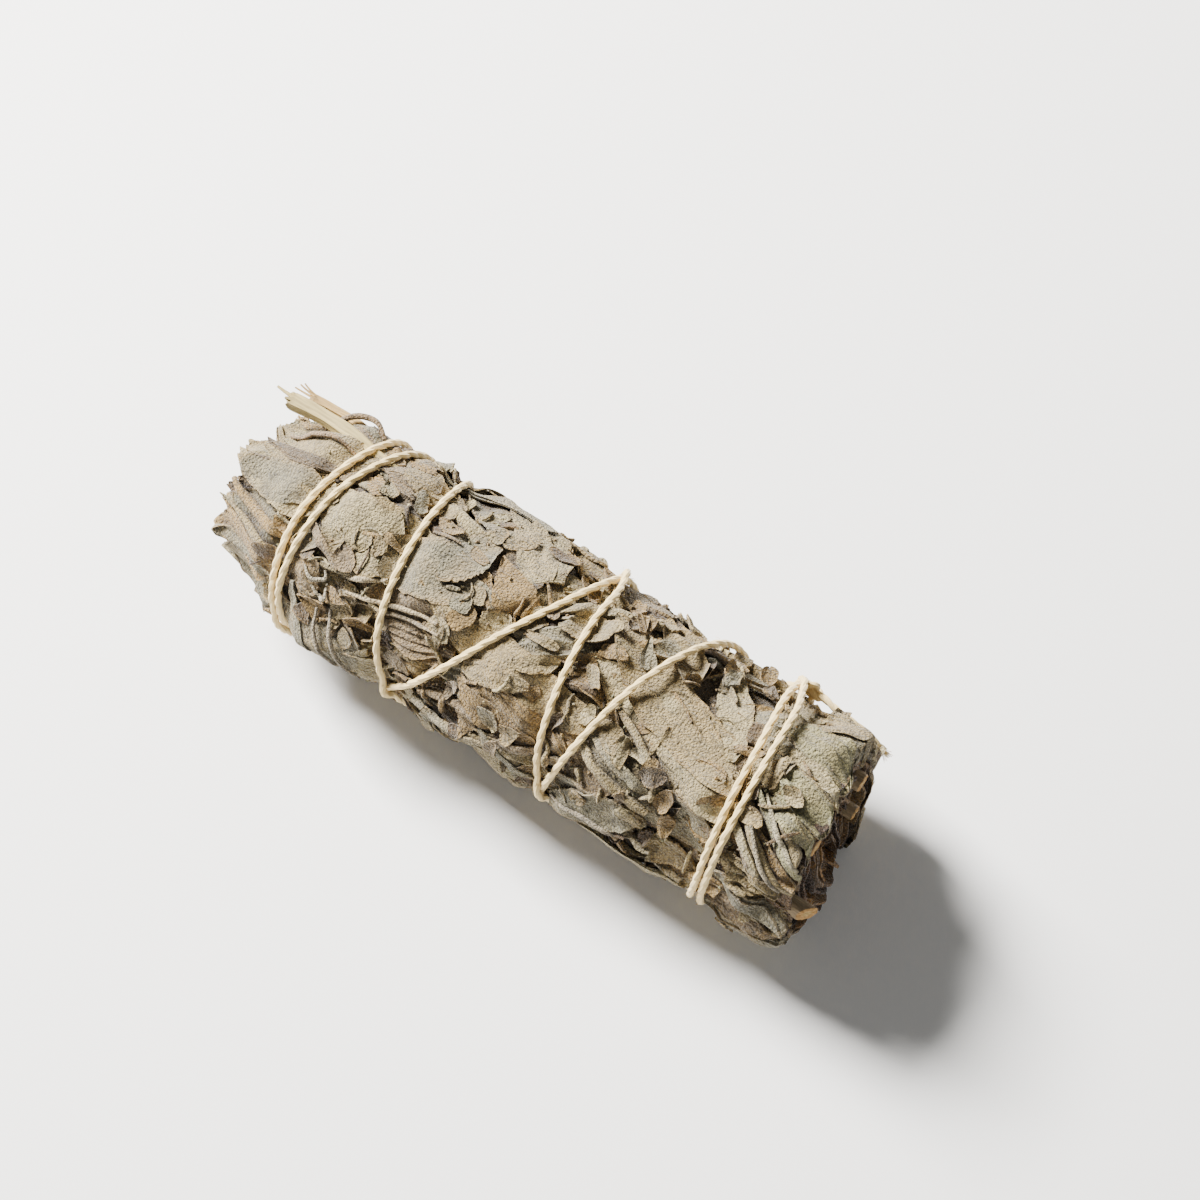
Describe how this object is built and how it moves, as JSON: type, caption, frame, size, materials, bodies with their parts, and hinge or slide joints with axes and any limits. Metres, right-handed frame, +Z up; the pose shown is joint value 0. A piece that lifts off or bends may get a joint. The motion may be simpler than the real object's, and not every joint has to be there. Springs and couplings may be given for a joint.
{
  "type": "sage smudge stick",
  "caption": "Dried white sage sprigs pressed into a round bundle and bound with cotton string, cut stems at one end and leaf tips at the other.",
  "frame": {"origin": "middle of the bounding box's bottom, on the surface that the bundle lies on", "axes": "+X along the bundle towards the cut stems, -X towards the leaf tips, +Z up, -Y towards the side that the picture shows lowest"},
  "size_m": [0.1104, 0.0398, 0.0358],
  "materials": {
    "dried_sage_leaf": "dry, felted leaf",
    "sage_stem": "raw, cut square",
    "peeled_stalk": "raw, dry",
    "cotton_string": "two-ply twisted cotton"
  },
  "bodies": {
    "root": {"sprig_1_leaves": "dried_sage_leaf", "sprig_2_leaves": "dried_sage_leaf", "sprig_3_leaves": "dried_sage_leaf", "sprig_4_leaves": "dried_sage_leaf", "sprig_5_leaves": "dried_sage_leaf", "sprig_6_leaves": "dried_sage_leaf", "sprig_7_leaves": "dried_sage_leaf", "sprig_8_leaves": "dried_sage_leaf", "sprig_1_stem": "sage_stem", "sprig_2_stem": "sage_stem", "sprig_3_stem": "sage_stem", "sprig_4_stem": "sage_stem", "sprig_5_stem": "sage_stem", "sprig_6_stem": "sage_stem", "sprig_7_stem": "sage_stem", "sprig_8_stem": "sage_stem", "stalk_1": "peeled_stalk", "stalk_2": "peeled_stalk", "cotton_string": "cotton_string"}
  },
  "joints": []
}
